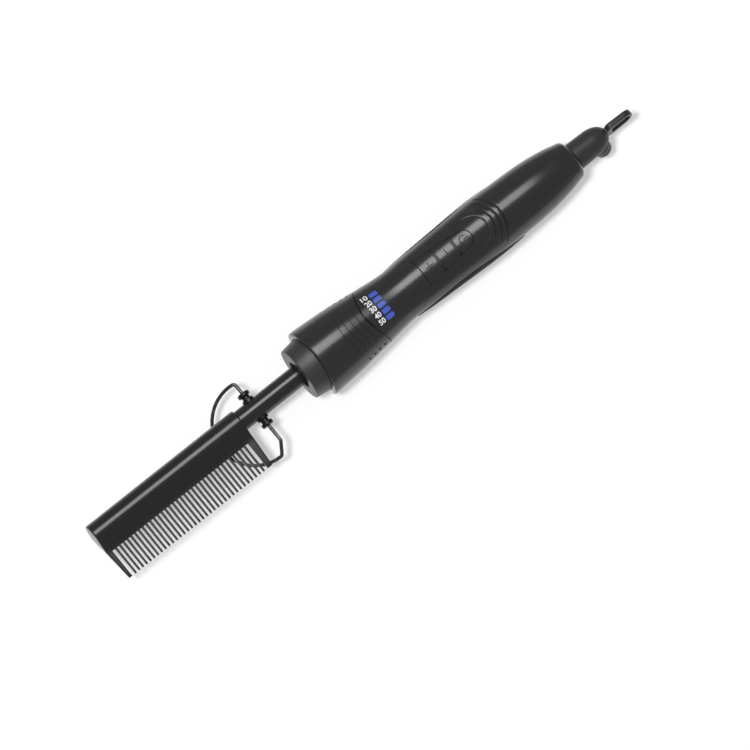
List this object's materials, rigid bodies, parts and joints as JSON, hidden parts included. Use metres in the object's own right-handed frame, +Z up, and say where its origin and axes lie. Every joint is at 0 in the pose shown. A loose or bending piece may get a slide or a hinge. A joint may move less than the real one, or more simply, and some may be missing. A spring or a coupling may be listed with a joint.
{
  "type": "electric hot comb",
  "caption": "Electric hot comb: heated metal comb on a steel neck, round handle with push buttons and lights, folding wire stand and turning tail with a hanging loop.",
  "frame": {"origin": "under the middle of the whole comb, on the surface that it lies on", "axes": "+X along the handle towards the hanging loop, +Z up out of the buttons, so the teeth point along -Y"},
  "size_m": [0.3128, 0.0418, 0.0346],
  "materials": {
    "comb_metal": "black heat-proof coating, satin",
    "neck_metal": "black coating, satin",
    "stud_metal": "black, semi-gloss",
    "wire_metal": "dark blackened steel wire",
    "nose_plastic": "dark grey heat-proof plastic, fine satin",
    "shell_plastic": "black plastic, satin with a broad sheen",
    "grip_rubber": "soft black, matte",
    "button_plastic": "black plastic, satin",
    "light_plastic": "blue translucent plastic, lit",
    "bush_ceramic": "unglazed, off-white",
    "aluminium": "plain",
    "mica": "mineral sheet, amber",
    "copper": "plain",
    "ptc_ceramic": "grey-brown, matte",
    "brass": "plain",
    "steel": "zinc plated",
    "board": "green solder mask",
    "component_black": "moulded black",
    "component_yellow": "film capacitor case",
    "led_white": "clear white",
    "lead_red": "silicone insulation",
    "lead_yellow": "insulation",
    "lead_black": "insulation",
    "swivel_plastic": "black plastic, satin",
    "loop_plastic": "black plastic"
  },
  "bodies": {
    "handle": {"comb_head": "comb_metal", "neck_tube": "neck_metal", "heater_blocks": "aluminium", "mica_sheets": "mica", "electrodes": "copper", "heating_ceramics": "ptc_ceramic", "thermal_fuse": "bush_ceramic", "temperature_sensor": "component_black", "heater_leads": "lead_red", "sensor_leads": "lead_yellow", "stand_studs": "stud_metal", "nose_ring": "nose_plastic", "heat_bush": "bush_ceramic", "front_collar": "shell_plastic", "upper_shell": "shell_plastic", "lower_shell": "shell_plastic", "left_grip": "grip_rubber", "right_grip": "grip_rubber", "light_guide": "light_plastic", "indicator_leds": "led_white", "circuit_board": "board", "push_switches": "component_black", "control_chip": "component_black", "triac": "component_black", "capacitor": "component_yellow", "board_fuse": "component_black", "board_screws": "steel", "shell_screws": "steel", "tube_clamp": "steel", "clamp_screws": "steel", "contact_block": "bush_ceramic", "contact_leaves": "brass", "supply_leads": "lead_black"},
    "plus_button": {"plus_button": "button_plastic"},
    "minus_button": {"minus_button": "button_plastic"},
    "power_button": {"power_button": "button_plastic"},
    "stand": {"stand_wire": "wire_metal"},
    "tail": {"tail_swivel": "swivel_plastic", "slip_rings": "brass", "hanging_loop": "loop_plastic", "cord_gland": "lead_black"}
  },
  "joints": [
    {"name": "plus_press", "type": "slide", "parent": "handle", "child": "plus_button", "axis": [0, 0, -1], "range_m": [0, 0.0005], "stiffness_N_per_m": 400, "springref_m": -0.0005},
    {"name": "minus_press", "type": "slide", "parent": "handle", "child": "minus_button", "axis": [0, 0, -1], "range_m": [0, 0.0005], "stiffness_N_per_m": 400, "springref_m": -0.0005},
    {"name": "power_press", "type": "slide", "parent": "handle", "child": "power_button", "axis": [0, 0, -1], "range_m": [0, 0.0005], "stiffness_N_per_m": 400, "springref_m": -0.0005},
    {"name": "stand_fold", "type": "hinge", "parent": "handle", "child": "stand", "pos_m": [-0.0625, 0.00363, 0.0173], "axis": [0, -1, 0], "range_deg": [0, 145]},
    {"name": "tail_turn", "type": "hinge", "parent": "handle", "child": "tail", "pos_m": [0.123, 0.00363, 0.0173], "axis": [1, 0, 0], "continuous": true}
  ]
}
